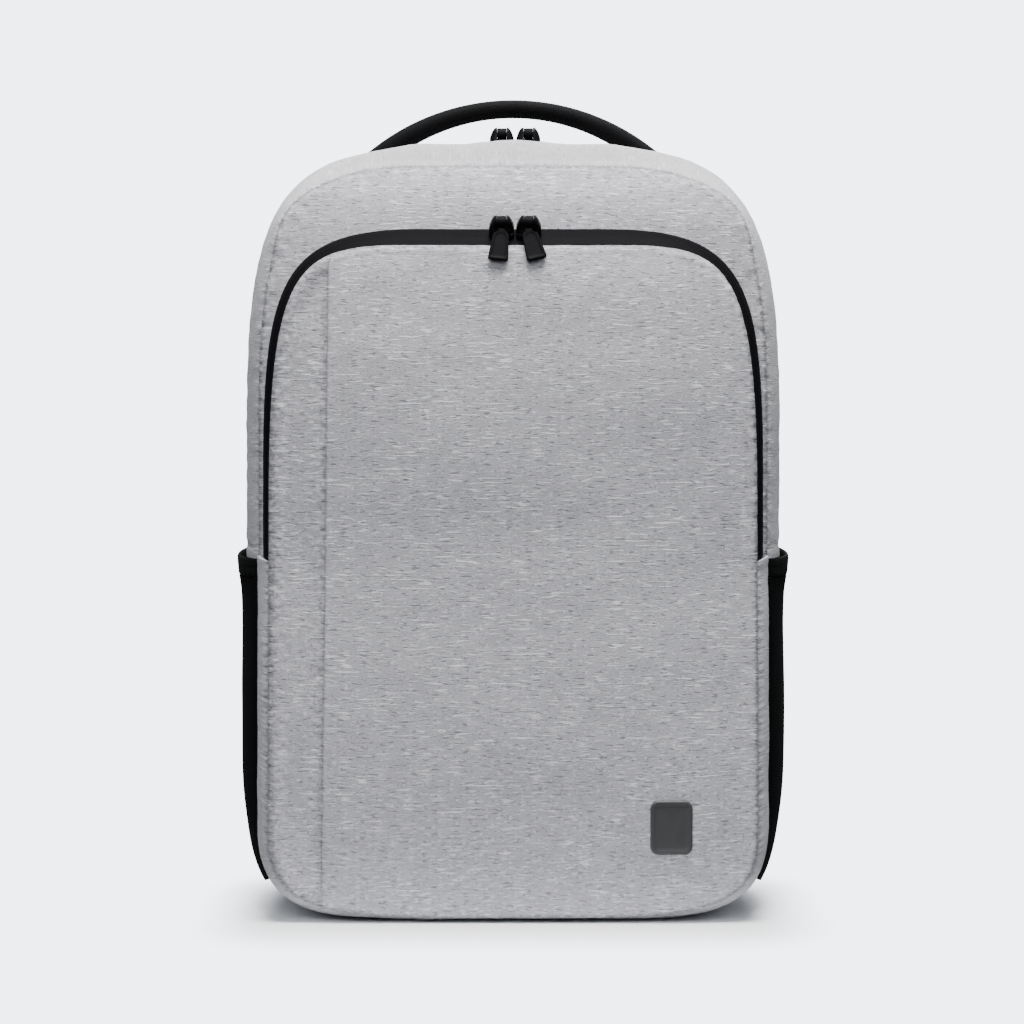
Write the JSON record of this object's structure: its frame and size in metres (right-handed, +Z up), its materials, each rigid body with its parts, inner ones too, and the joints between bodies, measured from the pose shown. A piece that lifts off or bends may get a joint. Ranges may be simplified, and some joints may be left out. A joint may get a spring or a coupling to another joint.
{
  "type": "daypack",
  "caption": "Upright grey daypack with a zipped main compartment, a zipped front pocket, stretch side pockets, a padded top handle and padded shoulder straps.",
  "frame": {"origin": "on the flat underside of the base, below the middle of the pack", "axes": "+Z up, -Y towards the front pocket, +X to the right as seen from the front"},
  "size_m": [0.3252, 0.1977, 0.4769],
  "materials": {
    "heather_cloth": "matt heather weave with fine streaks",
    "gusset_cloth": "matt heather weave",
    "back_cloth": "matt plain weave",
    "zip_tape": "satin coated tape",
    "zip_hardware": "gloss black enamel",
    "moulded_puller": "satin moulded",
    "stretch_mesh": "matt stretch knit",
    "handle_cloth": "soft plain weave",
    "spacer_mesh": "open spacer knit",
    "webbing": "ribbed webbing",
    "moulded_plastic": "fine moulded texture",
    "badge_rubber": "smooth matt moulded patch"
  },
  "bodies": {
    "pack": {"upper_gusset_rear": "gusset_cloth", "upper_gusset_front": "gusset_cloth", "main_zip_tape": "zip_tape", "lower_gusset": "gusset_cloth", "main_front_panel": "heather_cloth", "back_panel": "back_cloth", "pocket_gusset": "gusset_cloth", "pocket_zip_tape": "zip_tape", "pocket_face": "heather_cloth", "pocket_side_strip": "heather_cloth", "badge": "badge_rubber", "side_pocket_left": "stretch_mesh", "side_pocket_hem_left": "stretch_mesh", "side_pocket_right": "stretch_mesh", "side_pocket_hem_right": "stretch_mesh", "top_handle": "handle_cloth", "back_pad_left": "spacer_mesh", "back_pad_right": "spacer_mesh", "shoulder_strap_left": "spacer_mesh", "strap_adjuster_left": "moulded_plastic", "strap_loop_left": "webbing", "strap_webbing_left": "webbing", "strap_tab_left": "webbing", "shoulder_strap_right": "spacer_mesh", "strap_adjuster_right": "moulded_plastic", "strap_loop_right": "webbing", "strap_webbing_right": "webbing", "strap_tab_right": "webbing", "slider_front_left": "zip_hardware", "slider_front_right": "zip_hardware", "slider_top_left": "zip_hardware", "slider_top_right": "zip_hardware"},
    "front_left_puller": {"puller_front_left": "moulded_puller"},
    "front_right_puller": {"puller_front_right": "moulded_puller"},
    "top_left_puller": {"puller_top_left": "moulded_puller"},
    "top_right_puller": {"puller_top_right": "moulded_puller"}
  },
  "joints": [
    {"name": "front_left_puller_swing", "type": "hinge", "parent": "pack", "child": "front_left_puller", "pos_m": [-0.0066, -0.05059, 0.39972], "axis": [-1, 0, 0], "range_deg": [0, 190]},
    {"name": "front_right_puller_swing", "type": "hinge", "parent": "pack", "child": "front_right_puller", "pos_m": [0.009, -0.05059, 0.39972], "axis": [-1, 0, 0], "range_deg": [0, 190]},
    {"name": "top_left_puller_swing", "type": "hinge", "parent": "pack", "child": "top_left_puller", "pos_m": [-0.0066, 0.01026, 0.45426], "axis": [1, 0, 0], "range_deg": [0, 190]},
    {"name": "top_right_puller_swing", "type": "hinge", "parent": "pack", "child": "top_right_puller", "pos_m": [0.009, 0.01026, 0.45426], "axis": [1, 0, 0], "range_deg": [0, 190]}
  ]
}
